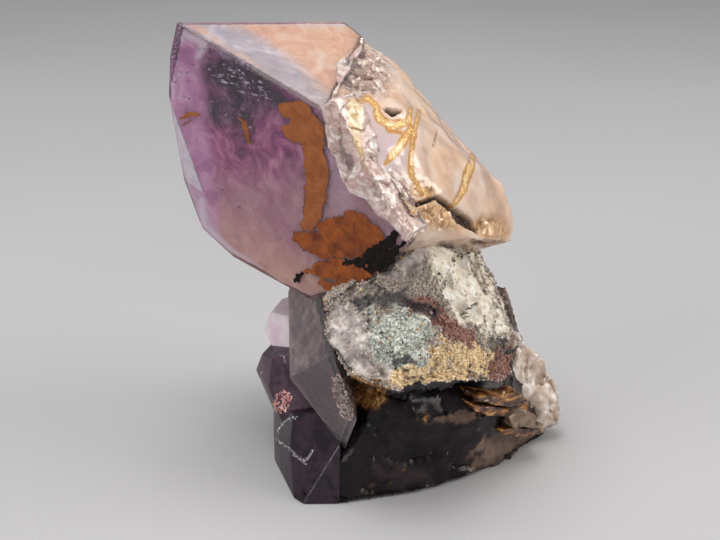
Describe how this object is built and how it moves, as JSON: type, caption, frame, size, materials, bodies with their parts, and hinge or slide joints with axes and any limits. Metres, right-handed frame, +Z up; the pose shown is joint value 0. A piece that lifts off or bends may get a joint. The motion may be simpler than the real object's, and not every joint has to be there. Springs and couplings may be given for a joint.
{
  "type": "amethyst specimen",
  "caption": "Natural amethyst cabinet specimen: a large purple quartz point grown together with milky quartz, a crusted broken block and smaller dark crystals on a flat broken base.",
  "frame": {"origin": "on the flat base plane, under the middle of the bounding box", "axes": "+Z up from the flat base, +X to the right as the large point leans up to the left, -Y towards the side that the picture shows"},
  "size_m": [0.0875, 0.0631, 0.0965],
  "materials": {
    "amethyst": "gloss",
    "milky_quartz": "satin",
    "druse_crust": "matte",
    "iron_oxide": "matte",
    "smoky_quartz": "gloss"
  },
  "bodies": {
    "root": {"amethyst_specimen": "amethyst"}
  },
  "joints": []
}
